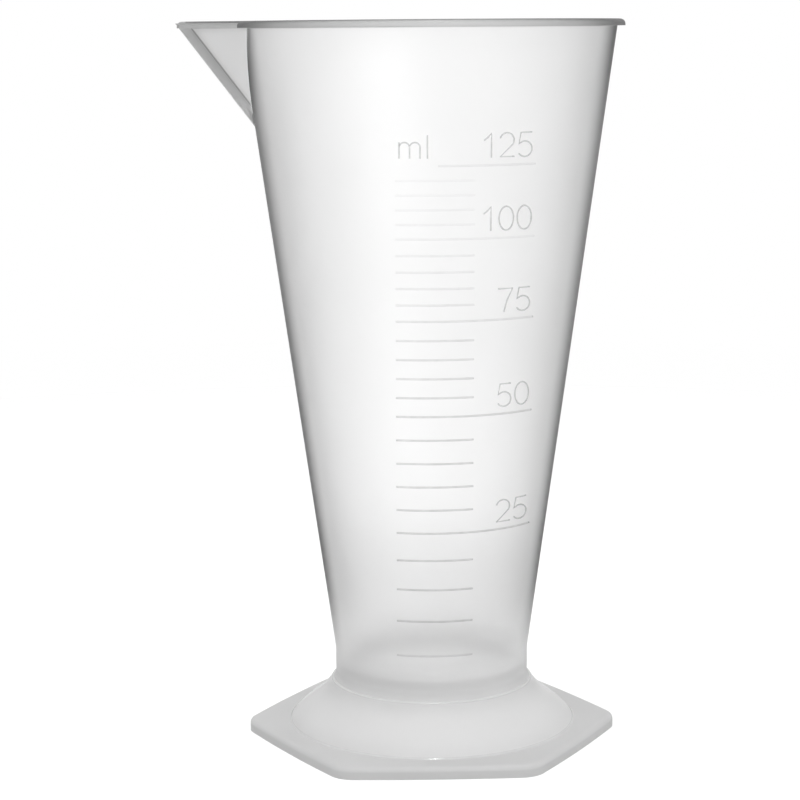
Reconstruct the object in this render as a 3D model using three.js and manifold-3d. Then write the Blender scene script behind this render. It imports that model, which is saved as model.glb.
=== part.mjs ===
// Conical graduate, 125 ml: a cup with a V spout and a raised scale, on a hollow six-sided foot.
// Millimetres, +Z up. The origin lies under the middle of the whole part's box, on the surface
// that the foot stands on. The spout sticks out at -X, so the cup's own axis lies at +X of it.
import * as THREE from 'three';
import { mergeVertices } from 'three/addons/utils/BufferGeometryUtils.js';
import Module from 'manifold-3d';

const wasm = await Module();
wasm.setup();

// Cup
const neckRadius = 16.55;
const neckHeight = 5.3;
const rimRadius = 31.4;
const cupHeight = 112.1;
const wall = 1.22;
const floorThickness = 1.2;
const floorFillet = 1.5;
const neckFillet = 3;
const neckFilletHeight = 1.5;
const gateRadius = 1.1;
const gateHeight = 0.6;

// Lip
const lipReach = 1.15;
const lipThickness = 1.1;
const lipRound = 0.85;
const lipSide = 0.35;

// Spout
const spoutReach = 10.75;
const spoutHeight = 17.4;
const spoutTopDrop = 0.3;
const spoutHalfAngle = 38.7;
const keelRound = 1.2;
const channelRound = 0.6;

// Joint between cup and foot
const spigotRadius = 13.6;
const spigotWall = 1.2;
const spigotDepth = 2.6;
const spigotClearance = 0.15;

// Foot
const footHeight = 9.55;
const footWall = 1.4;
const flareRadius = 24.6;
const flareFootRun = 2.4;
const flareFootRise = 3.3;
const flareTopRun = 2.35;
const flareTopDrop = 4;
const flangeThickness = 2.1;
const flangeSides = 6;
const flangeAcrossFlats = 55.9;
const flangeCornerRadius = 4.5;
const flangeBow = 0.35;
const flangeEdgeRound = 0.8;

// Scale
const capacity = 125;
const lineStep = 5;
const figureStep = 25;
const relief = 0.25;
const lineWidth = 0.32;
const lineHalfLength = 6.2;
const longLineEnd = 15.9;
const unitGap = 1.65;
const figureHeight = 3.8;
const figureWidth = 2.35;
const figurePitch = 2.95;
const figureLift = 1.2;
const figureInset = 0.5;
const strokeWidth = 0.25;
const strokeCornerLimit = 0.35;
const unitHeight = 2.5;
const unitStemPitch = 1.62;
const unitArchSweep = 160;
const unitLetterGap = 1.15;
const unitStart = -5.6;
const unitTallHeight = 3.6;
const cubicMillimetres = 1000;

// Roundness of the faceted shapes
const turns = 72;
const arcSteps = 5;
const bevelSteps = 3;
const filletSteps = 4;
const flareSteps = 6;
const keelSteps = 6;
const strokeTurn = 25;
const mergeDistance = 1e-5;

// Worked-out sizes
const rimZ = footHeight + cupHeight;
const neckTopZ = footHeight + neckHeight;
const floorZ = footHeight + floorThickness;
const coneSlope = (rimRadius - neckRadius) / (rimZ - neckTopZ);
const lipRadius = rimRadius + lipReach;
const jointRadius = neckRadius + neckFillet - Math.sqrt(neckFillet ** 2 - neckFilletHeight ** 2);
const spoutTip = rimRadius + spoutReach;
const spoutFootZ = rimZ - spoutHeight;
const keelSlope = (spoutTip - coneRadius(spoutFootZ)) / spoutHeight;
const spoutLipTip = spoutTip - keelSlope * lipThickness + lipSide;
const widestTip = Math.max(spoutLipTip, spoutTip - keelSlope * spoutTopDrop);
const axisX = (widestTip - lipRadius) / 2;
const halfAngle = THREE.MathUtils.degToRad(spoutHalfAngle);
const channelInset = wall / Math.sin(halfAngle);
const overshoot = 2;

// Outside radius of the cone's wall at a height
function coneRadius(z) {
  return neckRadius + coneSlope * Math.max(0, z - neckTopZ);
}

// A closed three.js geometry as a solid that can be joined and cut
function solidOf(geometry) {
  const bare = geometry.clone();
  bare.deleteAttribute('normal');
  bare.deleteAttribute('uv');
  const merged = mergeVertices(bare, mergeDistance);
  const points = merged.attributes.position;
  const index = merged.index.array;
  const corners = [new THREE.Vector3(), new THREE.Vector3(), new THREE.Vector3()];
  const triangles = [];
  let volume = 0;
  for (let i = 0; i < index.length; i += 3) {
    const [a, b, c] = [index[i], index[i + 1], index[i + 2]];
    if (a === b || b === c || c === a) continue;
    corners.forEach((corner, k) => corner.fromBufferAttribute(points, index[i + k]));
    volume += corners[0].dot(corners[1].clone().cross(corners[2]));
    triangles.push([a, b, c]);
  }
  const facing = volume > 0 ? triangles : triangles.map(([a, b, c]) => [a, c, b]);
  return new wasm.Manifold(new wasm.Mesh({
    numProp: 3,
    vertProperties: Float32Array.from(points.array),
    triVerts: Uint32Array.from(facing.flat()),
  }));
}

// A solid as a named mesh with its own material
function meshOf(name, solid, material) {
  const { vertProperties, triVerts } = solid.getMesh();
  const geometry = new THREE.BufferGeometry();
  geometry.setAttribute('position', new THREE.BufferAttribute(Float32Array.from(vertProperties), 3));
  geometry.setIndex(new THREE.BufferAttribute(Uint32Array.from(triVerts), 1));
  geometry.computeVertexNormals();
  const mesh = new THREE.Mesh(geometry, material);
  mesh.name = name;
  return mesh;
}

// A solid of revolution about Z, from [radius, height] pairs that start and end on the axis
function turned(profile) {
  const points = profile.map(([radius, z]) => new THREE.Vector2(radius, z));
  return solidOf(new THREE.LatheGeometry(points, turns).rotateX(Math.PI / 2));
}

// A flat shape pulled up from one height to another
function raised(shape, fromZ, toZ) {
  const options = { depth: toZ - fromZ, bevelEnabled: false, curveSegments: arcSteps };
  return new THREE.ExtrudeGeometry(shape, options).translate(0, 0, fromZ);
}

// A flat shape pulled up with only its top edge rounded
function domed(shape, fromZ, toZ, round) {
  const options = {
    depth: toZ - fromZ,
    bevelThickness: round,
    bevelSize: round,
    bevelOffset: -round,
    bevelSegments: bevelSteps,
    curveSegments: arcSteps,
  };
  const plate = solidOf(new THREE.ExtrudeGeometry(shape, options).translate(0, 0, fromZ - round));
  const size = 2 * (spoutTip + overshoot);
  const below = solidOf(new THREE.BoxGeometry(size, size, size).translate(0, 0, fromZ - size / 2));
  return plate.subtract(below);
}

// Points of an arc about a centre, from one angle to another in degrees
function arc(x, y, radius, from, to, steps = arcSteps) {
  return ovalArc(x, y, radius, radius, from, to, steps);
}

function ovalArc(x, y, radiusX, radiusY, from, to, steps) {
  const points = [];
  for (let i = 0; i <= steps; i += 1) {
    const angle = THREE.MathUtils.degToRad(from + (to - from) * i / steps);
    points.push([x + radiusX * Math.cos(angle), y + radiusY * Math.sin(angle)]);
  }
  return points;
}

function shapeOf(points) {
  return new THREE.Shape(points.map(([x, y]) => new THREE.Vector2(x, y)));
}

// A V with a rounded tip at x = 0, open towards +X, closed by a straight back edge
function wedge(length, round) {
  const centre = round / Math.sin(halfAngle);
  const swing = 90 - spoutHalfAngle;
  const reach = length * Math.tan(halfAngle);
  const tip = arc(centre, 0, round, 180 - swing, 180 + swing, keelSteps);
  return { points: [[length, reach], ...tip, [length, -reach]], blunt: centre - round };
}

// The wedge pulled up along the keel's slope, with its tip on the keel at the given inset
function slantedWedge(round, inset, toZ) {
  const fromZ = spoutFootZ - overshoot;
  const length = spoutReach + overshoot;
  const { points, blunt } = wedge(length, round);
  const tipX = -(coneRadius(spoutFootZ) - keelSlope * overshoot) + inset - blunt;
  const lean = new THREE.Matrix4().set(
    1, 0, -keelSlope, tipX,
    0, 1, 0, 0,
    0, 0, 1, fromZ,
    0, 0, 0, 1,
  );
  return solidOf(raised(shapeOf(points), 0, toZ - fromZ).applyMatrix4(lean));
}

// Outline of the lip seen from above: a circle that runs out along both sides of the spout
function lipOutline() {
  const { points, blunt } = wedge(spoutReach + overshoot, keelRound + lipSide);
  const sharpTip = spoutLipTip + blunt;
  const tip = points.slice(1, -1).map(([x, y]) => [x - sharpTip, y]);
  const beside = sharpTip * Math.sin(halfAngle);
  const inCircle = Math.sqrt(Math.max(0, lipRadius ** 2 - beside ** 2));
  const side = sharpTip * Math.cos(halfAngle) - inCircle;
  const cornerX = side * Math.cos(halfAngle) - sharpTip;
  const cornerY = side * Math.sin(halfAngle);
  const corner = THREE.MathUtils.radToDeg(Math.atan2(cornerY, cornerX));
  const steps = Math.round(turns * corner / 180);
  return shapeOf([...arc(0, 0, lipRadius, -corner, corner, steps), ...tip]);
}

// Height above the floor at which the cup holds a volume in millilitres
function fillHeight(millilitres) {
  const volume = millilitres * cubicMillimetres;
  const radius = neckRadius - wall;
  const depth = neckTopZ - floorZ;
  const inNeck = Math.PI * radius ** 2 * depth;
  if (volume <= inNeck) return volume / (Math.PI * radius ** 2);
  const cubed = radius ** 3 + 3 * coneSlope * (volume - inNeck) / Math.PI;
  return depth + (Math.cbrt(cubed) - radius) / coneSlope;
}

// Height of a line above the floor. The lowest lines and the ones with a figure stand at
// their true volumes, and between two figures the lines are spaced evenly.
function lineHeight(millilitres) {
  const past = millilitres % figureStep;
  const below = millilitres - past;
  if (past === 0 || below === 0) return fillHeight(millilitres);
  const [start, end] = [fillHeight(below), fillHeight(below + figureStep)];
  return THREE.MathUtils.lerp(start, end, past / figureStep);
}

// Outline of a pen stroke of even width along points in the XZ plane
function strokeOutline(points, closed = false) {
  const last = points.length - 1;
  const side = (sign) => points.map(([x, z], i) => {
    const before = points[i > 0 ? i - 1 : closed ? last : 0];
    const after = points[i < last ? i + 1 : closed ? 0 : last];
    const into = new THREE.Vector2(x - before[0], z - before[1]).normalize();
    const out = new THREE.Vector2(after[0] - x, after[1] - z).normalize();
    const along = into.clone().add(out).normalize();
    const square = Math.abs(along.dot(into.length() > 0 ? into : out));
    const widen = Math.max(strokeCornerLimit, square);
    const offset = sign * strokeWidth / 2 / widen;
    return [x - along.y * offset, z + along.x * offset];
  });
  if (!closed) return shapeOf([...side(1), ...side(-1).reverse()]);
  const ring = shapeOf(side(-1));
  ring.holes.push(new THREE.Path(side(1).map(([x, z]) => new THREE.Vector2(x, z))));
  return ring;
}

// A round stroke of a figure, with a point for each strokeTurn degrees
function bow(x, z, radiusX, radiusZ, from, to) {
  return ovalArc(x, z, radiusX, radiusZ, from, to, Math.round(Math.abs(to - from) / strokeTurn));
}

// The one stroke of each figure, in a cell 1 wide and 1 high
const figures = {
  0: bow(0.5, 0.5, 0.5, 0.5, 0, 360).slice(1),
  1: [[0.2, 0.7], [0.7, 1], [0.7, 0]],
  2: [...bow(0.5, 0.7, 0.48, 0.3, 165, -35), [0.04, 0.02], [1, 0.02]],
  5: [[0.95, 1], [0.2, 1], [0.06, 0.53], ...bow(0.47, 0.32, 0.5, 0.32, 125, -145)],
  7: [[0, 1], [1, 1], [0.62, 0.5], [0.4, 0]],
};

// The figures of a number as outlines, with the right edge and the baseline given
function numberOutlines(text, rightX, baseZ) {
  return [...text].map((figure, i) => {
    const leftX = rightX - figureWidth - figurePitch * (text.length - 1 - i);
    const placed = figures[figure].map(([x, z]) => [
      leftX + x * figureWidth,
      baseZ + z * figureHeight,
    ]);
    return strokeOutline(placed, figure === '0');
  });
}

// The unit "ml": three stems joined by two low arches, then a tall stem
function unitOutlines(baseZ) {
  const archRadius = unitStemPitch / 2;
  const springZ = baseZ + unitHeight - archRadius;
  const outlines = [strokeOutline([[unitStart, baseZ], [unitStart, baseZ + unitHeight]])];
  for (const stem of [1, 2]) {
    const x = unitStart + stem * unitStemPitch;
    const arch = arc(x - archRadius, springZ, archRadius, unitArchSweep, 0);
    outlines.push(strokeOutline([...arch, [x, baseZ]]));
  }
  const tallX = unitStart + 2 * unitStemPitch + unitLetterGap;
  outlines.push(strokeOutline([[tallX, baseZ], [tallX, baseZ + unitTallHeight]]));
  return { outlines, endX: tallX };
}

function lineOutline(fromX, toX, z) {
  const half = lineWidth / 2;
  return shapeOf([[fromX, z - half], [toX, z - half], [toX, z + half], [fromX, z + half]]);
}

// All lines and figures as outlines in the XZ plane
function scaleOutlines() {
  const outlines = [];
  for (let volume = lineStep; volume <= capacity; volume += lineStep) {
    const z = floorZ + lineHeight(volume);
    const hasFigure = volume % figureStep === 0;
    let fromX = -lineHalfLength;
    if (volume === capacity) {
      const unit = unitOutlines(z + figureLift);
      outlines.push(...unit.outlines);
      fromX = unit.endX + unitGap;
    }
    outlines.push(lineOutline(fromX, hasFigure ? longLineEnd : lineHalfLength, z));
    if (hasFigure) {
      outlines.push(...numberOutlines(String(volume), longLineEnd - figureInset, z + figureLift));
    }
  }
  return outlines;
}

// The raised scale: the outlines pushed out in front, cut off just above the cone's wall
function raisedScale() {
  const limit = turned([
    [0, footHeight],
    [neckRadius + relief, footHeight],
    [neckRadius + relief, neckTopZ],
    [rimRadius + relief, rimZ],
    [0, rimZ],
  ]);
  const depth = lipRadius;
  const prisms = scaleOutlines().map((outline) => {
    const geometry = new THREE.ExtrudeGeometry(outline, { depth, bevelEnabled: false });
    return solidOf(geometry.rotateX(Math.PI / 2));
  });
  return wasm.Manifold.union(prisms).intersect(limit);
}

// The cup's outside without spout and lip, spigot included
function cupOutside() {
  const swing = THREE.MathUtils.radToDeg(Math.asin(neckFilletHeight / neckFillet));
  const centre = [neckRadius + neckFillet, footHeight + neckFilletHeight];
  const fillet = arc(...centre, neckFillet, 180 + swing, 180, filletSteps);
  return turned([
    [0, footHeight - spigotDepth],
    [spigotRadius, footHeight - spigotDepth],
    [spigotRadius, footHeight],
    [jointRadius, footHeight],
    ...fillet.slice(1),
    [neckRadius, neckTopZ],
    [rimRadius, rimZ],
    [0, rimZ],
  ]);
}

// The space inside the cup, from the floor to overshoot the rim
function cupInside() {
  const radius = neckRadius - wall;
  const centre = [radius - floorFillet, floorZ + floorFillet];
  const fillet = arc(...centre, floorFillet, -90, 0, filletSteps);
  return turned([
    [0, floorZ],
    ...fillet,
    [radius, neckTopZ],
    [radius + coneSlope * (rimZ + overshoot - neckTopZ), rimZ + overshoot],
    [0, rimZ + overshoot],
  ]);
}

function spigotInside() {
  const radius = spigotRadius - spigotWall;
  const bottom = footHeight - spigotDepth - overshoot;
  return turned([[0, bottom], [radius, bottom], [radius, footHeight], [0, footHeight]]);
}

function gateMark() {
  const bottom = footHeight - gateHeight;
  const top = footHeight + floorThickness / 2;
  return turned([[0, bottom], [gateRadius, bottom], [gateRadius, top], [0, top]]);
}

function vessel() {
  const lip = domed(lipOutline(), rimZ - lipThickness, rimZ, lipRound);
  const outsideSpout = slantedWedge(keelRound, 0, rimZ - spoutTopDrop);
  const channel = slantedWedge(channelRound, channelInset, rimZ + overshoot);
  return cupOutside()
    .add(outsideSpout)
    .add(lip)
    .add(raisedScale())
    .subtract(cupInside())
    .subtract(channel)
    .subtract(spigotInside())
    .add(gateMark());
}

// Outline of the flange: six bowed sides with round corners, two of them on the X axis
function flangeOutline() {
  const apothem = flangeAcrossFlats / 2;
  const halfSide = 180 / flangeSides;
  const cornerDistance = (apothem - flangeCornerRadius) / Math.cos(Math.PI / flangeSides);
  const half = cornerDistance * Math.sin(Math.PI / flangeSides);
  const points = [];
  for (let corner = 0; corner < flangeSides; corner += 1) {
    const angle = 2 * halfSide * corner;
    const along = THREE.MathUtils.degToRad(angle);
    const x = cornerDistance * Math.cos(along);
    const y = cornerDistance * Math.sin(along);
    points.push(...arc(x, y, flangeCornerRadius, angle - halfSide, angle + halfSide));
    const normal = THREE.MathUtils.degToRad(angle + halfSide);
    for (let i = 1; i < arcSteps; i += 1) {
      const t = 2 * i / arcSteps - 1;
      const out = apothem + flangeBow * (1 - t * t);
      const across = half * t;
      points.push([
        out * Math.cos(normal) - across * Math.sin(normal),
        out * Math.sin(normal) + across * Math.cos(normal),
      ]);
    }
  }
  return shapeOf(points);
}

// Side of the flare, an S from the flange up to the joint, moved in by a wall's width if wanted
function flareSide(inset) {
  const side = new THREE.CubicBezierCurve(
    new THREE.Vector2(flareRadius, flangeThickness),
    new THREE.Vector2(flareRadius - flareFootRun, flangeThickness + flareFootRise),
    new THREE.Vector2(jointRadius + flareTopRun, footHeight - flareTopDrop),
    new THREE.Vector2(jointRadius, footHeight),
  );
  const points = [];
  for (let i = 0; i <= flareSteps; i += 1) {
    const place = side.getPoint(i / flareSteps);
    const along = side.getTangent(i / flareSteps);
    points.push([place.x - inset * along.y, place.y + inset * along.x]);
  }
  return points;
}

function foot() {
  const outside = turned([[0, 0], [flareRadius, 0], ...flareSide(0), [0, footHeight]]);
  const flange = domed(flangeOutline(), 0, flangeThickness, flangeEdgeRound);
  const plateZ = footHeight - footWall;
  const inner = flareSide(footWall);
  const under = inner.filter(([, z]) => z < plateZ);
  const [belowPlate, abovePlate] = [inner[under.length - 1], inner[under.length]];
  const share = (plateZ - belowPlate[1]) / (abovePlate[1] - belowPlate[1]);
  const plateRadius = belowPlate[0] + share * (abovePlate[0] - belowPlate[0]);
  const hollow = turned([
    [0, -overshoot],
    [under[0][0], -overshoot],
    ...under,
    [plateRadius, plateZ],
    [0, plateZ],
  ]);
  const socketRadius = spigotRadius + spigotClearance;
  const socket = turned([
    [0, plateZ - overshoot],
    [socketRadius, plateZ - overshoot],
    [socketRadius, footHeight + overshoot],
    [0, footHeight + overshoot],
  ]);
  return outside.add(flange).subtract(hollow).subtract(socket);
}

const cupPlastic = new THREE.MeshStandardMaterial({
  color: 0xe6e6e4,
  roughness: 0.42,
  metalness: 0,
  transparent: true,
  opacity: 0.6,
});
const footPlastic = cupPlastic.clone();

const graduate = new THREE.Group();
graduate.add(meshOf('vessel', vessel(), cupPlastic));
graduate.add(meshOf('foot', foot(), footPlastic));
graduate.position.set(axisX, 0, 0);

export default graduate;
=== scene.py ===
"""Conical graduate, 125 ml: the fine surface, the plastic, the floor, the light and the camera."""

import math

import bpy
from bpy.props import FloatProperty, FloatVectorProperty, IntProperty, PointerProperty
from bpy.types import Operator, Panel, PropertyGroup
from mathutils import Euler, Matrix, Vector


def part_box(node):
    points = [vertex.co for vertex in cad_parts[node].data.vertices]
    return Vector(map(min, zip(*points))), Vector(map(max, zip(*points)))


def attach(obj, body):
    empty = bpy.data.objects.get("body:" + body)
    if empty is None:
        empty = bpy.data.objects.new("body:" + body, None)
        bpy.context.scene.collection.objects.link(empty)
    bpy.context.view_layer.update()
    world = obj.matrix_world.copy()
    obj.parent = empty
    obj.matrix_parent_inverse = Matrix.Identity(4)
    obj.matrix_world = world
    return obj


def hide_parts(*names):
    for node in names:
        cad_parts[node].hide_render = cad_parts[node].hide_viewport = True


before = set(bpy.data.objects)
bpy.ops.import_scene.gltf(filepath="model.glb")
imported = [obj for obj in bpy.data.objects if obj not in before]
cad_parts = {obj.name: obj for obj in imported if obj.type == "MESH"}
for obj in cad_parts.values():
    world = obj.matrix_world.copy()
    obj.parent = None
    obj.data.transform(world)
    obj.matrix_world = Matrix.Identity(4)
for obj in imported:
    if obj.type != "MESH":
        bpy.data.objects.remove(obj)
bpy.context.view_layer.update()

bl_info = {
    "name": "Conical graduate",
    "version": (1, 0, 0),
    "blender": (4, 5, 0),
    "location": "View3D > Sidebar > Graduate",
    "description": "Models a plastic conical graduate with a V spout, a raised scale and a six-sided foot",
    "category": "Add Mesh",
}

VESSEL_LOW, VESSEL_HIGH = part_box("vessel")
FOOT_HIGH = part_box("foot")[1]


def length(name, description, default):
    """A size in metres, shown in the scene's own unit."""
    return FloatProperty(name=name, description=description, default=default, unit="LENGTH", precision=5)


def angle(name, description, degrees):
    """A turn, written in degrees."""
    return FloatProperty(name=name, description=description, default=math.radians(degrees), subtype="ANGLE")


def share(name, description, default):
    """A share, a roughness or another number that can't be negative."""
    return FloatProperty(name=name, description=description, default=default, min=0)


def power(name, description, default):
    """A lamp's power, in watts."""
    return FloatProperty(name=name, description=description, default=default, min=0, unit="POWER")


def colour(name, description, default):
    """A linear colour."""
    return FloatVectorProperty(
        name=name, description=description, default=default, size=3, subtype="COLOR", min=0, max=1
    )


class CupSizes(PropertyGroup):
    """The moulded cup, from its spigot to its rim."""

    neck_radius: length("Neck radius", "Outside radius of the straight neck", 0.01655)
    neck_height: length("Neck height", "Height of the straight neck above the joint", 0.0053)
    rim_radius: length("Rim radius", "Outside radius of the cone at the rim", 0.0314)
    rim_height: length("Rim height", "Height of the rim", VESSEL_HIGH.z)
    wall: length("Wall", "Thickness of the cup's wall, level across", 0.00122)
    floor_thickness: length("Floor thickness", "Thickness of the cup's floor", 0.0012)
    floor_fillet: length("Floor fillet", "Radius between the floor and the wall inside", 0.0015)
    neck_fillet: length("Neck fillet", "Radius where the neck spreads to the joint", 0.003)
    neck_fillet_height: length("Neck fillet height", "Height of that round part", 0.0015)
    spigot_radius: length("Spigot radius", "Outside radius of the ring that sits in the foot", 0.0136)
    spigot_wall: length("Spigot wall", "Thickness of that ring", 0.0012)
    gate_radius: length("Gate radius", "Radius of the gate mark under the floor", 0.0011)
    gate_height: length("Gate height", "How far the gate mark stands out", 0.0006)


class SpoutSizes(PropertyGroup):
    """The V spout and the lip that runs round the rim."""

    reach: length("Reach", "How far the keel runs out past the cone at the rim", 0.01075)
    height: length("Height", "How far the keel runs down from the rim", 0.0174)
    top_drop: length("Top drop", "How far the spout's wall ends below the lip's top", 0.0003)
    half_angle: angle("Half angle", "Half of the angle between the spout's sides", 38.7)
    keel_round: length("Keel radius", "Outside radius of the keel", 0.0012)
    channel_round: length("Channel radius", "Inside radius of the keel", 0.0006)
    lip_reach: length("Lip reach", "How far the lip stands out from the cone", 0.00115)
    lip_thickness: length("Lip thickness", "Height of the lip's edge", 0.0011)
    lip_round: length("Lip radius", "Radius of the lip's upper edge", 0.00085)
    lip_side: length("Lip side", "How far the lip stands out from the spout's sides", 0.00035)


class ScaleSizes(PropertyGroup):
    """The raised lines, figures and unit."""

    relief: length("Relief", "How far lines and figures stand out", 0.00025)
    line_width: length("Line width", "Width of a line", 0.00032)
    line_half: length("Half line", "Half the length of a short line", 0.0062)
    long_end: length("Long line end", "Where a long line ends, right of the middle", 0.0159)
    unit_gap: length("Unit gap", "Room between the unit and the uppermost line", 0.00165)
    figure_height: length("Figure height", "Height of a figure", 0.0038)
    figure_width: length("Figure width", "Width of a figure", 0.00235)
    figure_pitch: length("Figure pitch", "Step from one figure to the next", 0.00295)
    figure_lift: length("Figure lift", "Height of a figure's foot above its line", 0.0012)
    figure_inset: length("Figure inset", "Room from the line's end to the last figure", 0.0005)
    stroke_width: length("Stroke width", "Width of a figure's stroke", 0.00025)
    unit_start: length("Unit start", "Where the unit's first stem stands, from the middle", -0.0056)
    unit_height: length("Unit height", "Height of the m", 0.0025)
    unit_stem_pitch: length("Stem pitch", "Step between the stems of the m", 0.00162)
    unit_letter_gap: length("Letter gap", "Room between the m and the l", 0.00115)
    unit_tall_height: length("Tall height", "Height of the l", 0.0036)
    capacity: IntProperty(name="Capacity", description="Volume at the uppermost line, in ml", default=125)
    line_step: IntProperty(name="Line step", description="Volume from one line to the next, in ml", default=5)
    figure_step: IntProperty(
        name="Figure step", description="Volume from one figure to the next, in ml", default=25
    )


class FootSizes(PropertyGroup):
    """The hollow foot with its six-sided flange."""

    height: length("Height", "Height of the foot", FOOT_HIGH.z)
    wall: length("Wall", "Thickness of the flare and of the plate on top", 0.0014)
    flare_radius: length("Flare radius", "Radius where the flare meets the flange", 0.0246)
    foot_run: length("Foot run", "How far the flare's lower end leans in", 0.0024)
    foot_rise: length("Foot rise", "How steeply it rises there", 0.0033)
    top_run: length("Top run", "How far the flare's upper end leans out", 0.00235)
    top_drop: length("Top drop", "How steeply it falls there", 0.004)
    crease_round: length("Crease radius", "Radius between the flare and the flange", 0.0006)
    ring_step: length("Ring step", "How far the foot's upper edge stands out beyond the neck", 0.0002)
    ring_round: length("Ring radius", "Radius of the foot's upper edge", 0.0005)
    flange_thickness: length("Flange thickness", "Thickness of the flange", 0.0021)
    across_flats: length("Across flats", "Width of the flange from side to side", 0.0559)
    corner_radius: length("Corner radius", "Radius of the flange's corners", 0.0045)
    bow: length("Bow", "How far each side of the flange bows out", 0.00035)
    edge_round: length("Edge radius", "Radius of the flange's upper edge", 0.0008)
    clearance: length("Clearance", "Room round the spigot in the foot's socket", 0.00015)


class PlasticLook(PropertyGroup):
    """Natural polypropylene: clear as it comes from the mould, with a milky body and painted shade in its
    milk.
    """

    # Painted shade: a dark milk that the thin wall shows along its edges, near the rim and in the scale, in
    # place of the dim surroundings seen through the hazy plastic.
    cup_milk: colour("Cup milk", "Colour of the thin wall's milk, seen along its edges", (0.18, 0.18, 0.18))
    low_haze: share("Low haze", "Share of milk that the cup gains towards its floor", 0.13)
    low_haze_top: length("Low haze top", "Height where that milk ends", 0.046)
    # Painted shade: a darker band on the neck just above the joint.
    joint_shade: share("Joint shade", "How much darker the neck's milk is just above the joint", 0.05)
    # Painted shade: darker milk in the floor's round corner inside.
    corner_shade: share("Corner shade", "How much darker it is in the floor's round corner", 0.6)
    neck_haze_top: length("Neck haze top", "Height above the joint up to which the neck is milky", 0.009)
    # Real haze grows where the wall turns away; the dark milk that it shows there is painted shade.
    side_haze: share("Side haze", "Share of milk that the cup gains where its wall turns away", 0.022)
    edge_haze: share("Edge haze", "Share of milk that it gains along its edges", 0.9)
    edge_start: share("Edge start", "How far the wall has turned away where that milk starts", 0.57)
    edge_end: share("Edge end", "How far the wall has turned away where that milk is whole", 0.88)
    lip_haze: share("Lip haze", "Share of milk in the lip, straight on", 0.75)
    lip_edge_haze: share("Lip edge haze", "Share of milk in the lip where it turns away", 0.93)
    # Painted shade: the lip's milk grows darker as the lip turns away, down to a least share of pale.
    lip_turn: share("Lip turn", "How fast the lip's milk darkens as the lip turns away", 1.15)
    lip_least: share("Lip least", "Share of pale milk that the lip keeps however far it turns", 0.2)
    # Painted shade: the thin wall's milk grows darker towards the rim.
    rim_shade: share("Rim shade", "How much of its colour the thin wall's milk loses at the rim", 0.75)
    rim_band: length("Rim band", "How far below the rim it begins to lose it", 0.02)
    spout_haze: share("Spout haze", "Share of milk that the spout's sides gain", 0.07)
    keel_haze: share("Keel haze", "Share of milk in the keel", 0.7)
    keel_band: length("Keel band", "Width of the keel's milky band, level across", 0.002)
    # Painted shade: a thin dark line in the fold on the keel's inner side.
    fold_haze: share("Fold haze", "Share of shade in the fold on the keel's inner side", 0.6)
    thick_milk: colour("Thick milk", "Colour of the milk in neck, lip and keel", (0.85, 0.85, 0.85))
    # Painted shade: the lines and figures are tinted grey for the light that their raised sides bend away,
    # fainter or darker by height.
    line_shade: share("Line shade", "How dark a line looks on the lower half of the scale", 0.19)
    line_fade: share("Line fade", "How dark a line looks at the top of the scale", 0.035)
    line_fade_start: length("Line fade start", "Height above which the lines grow fainter", 0.05)
    line_fade_end: length("Line fade end", "Height where they are faintest", 0.098)
    line_loss: share("Line loss", "Share of its shade that a line loses in the milk near the floor", 0.4)
    line_loss_top: length("Line loss top", "Height where that loss begins", 0.024)
    line_loss_foot: length("Line loss foot", "Height where it is whole", 0.0165)
    top_line_shade: share("Top line shade", "How much darker the uppermost line looks than those below", 0.04)
    figure_shade: share("Figure shade", "How dark a figure looks", 0.2)
    foot_milk: colour("Foot milk", "Colour of the foot's milky body", (0.75, 0.75, 0.75))
    foot_haze: share("Foot haze", "Share of milk in the foot, straight on", 0.94)
    # Painted shade: the flange's upright side is given a darker milk than its top.
    flange_shade: share("Flange shade", "How much darker the flange's upright side is", 0.1)
    foot_edge: share("Foot edge", "Share of milk that the foot loses along its edges", 0.6)
    cup_gloss: share("Cup gloss", "Strength of reflections on the cup's milk", 0.06)
    foot_gloss: share("Foot gloss", "Strength of reflections on the foot's milk", 1.0)
    roughness: share("Roughness", "Roughness of the cup's skin", 0.31)
    foot_roughness: share("Foot roughness", "Roughness of the foot's skin", 0.6)
    edge_roughness: share("Edge roughness", "Roughness of the foot's upper edge and crease", 0.1)
    depth: share("Depth", "How fast the plastic darkens with its thickness, per metre", 10.0)
    ripple: share("Ripple", "Strength of the skin's faint waviness", 0.05)


class StageLook(PropertyGroup):
    """Floor, light and camera."""

    floor_radius: length("Floor radius", "Radius of the floor", 1.2)
    floor_colour: colour("Floor colour", "Colour of the floor", (0.72, 0.72, 0.72))
    floor_lift: share("Floor lift", "Light that the floor shows of its own, so that it looks white", 0.32)
    fade_start: length("Fade start", "How far from its middle the floor starts to fade", 0.12)
    fade_end: length("Fade end", "How far from its middle it has faded", 0.5)
    ambient: share("Ambient", "Light from all round", 0.55)
    mirrored: share("Mirrored", "How much of the white surroundings' brightness the gloss shows", 0.8)
    key: power("Key", "Power of the large lamp overhead", 3.9)
    fill: power("Fill", "Power of the lamp in front", 4.2)
    top: power("Top", "Power of the narrow lamp above the front", 2.0)
    lens: FloatProperty(
        name="Lens", description="Focal length for the sensor's width", default=101.14, unit="CAMERA"
    )
    distance: length("Distance", "From the camera to the cup's axis, level", 0.37802)
    camera_height: length("Camera height", "Height of the camera above the floor", 0.12001)
    side_turn: angle("Side turn", "How far the camera stands to the left of the scale", 1.95)
    pitch: angle("Pitch", "How far the camera looks down", 9.345)
    yaw: angle("Yaw", "How far the camera looks left of the axis", 0.78)
    roll: angle("Roll", "How far the camera leans", -0.41)


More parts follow.
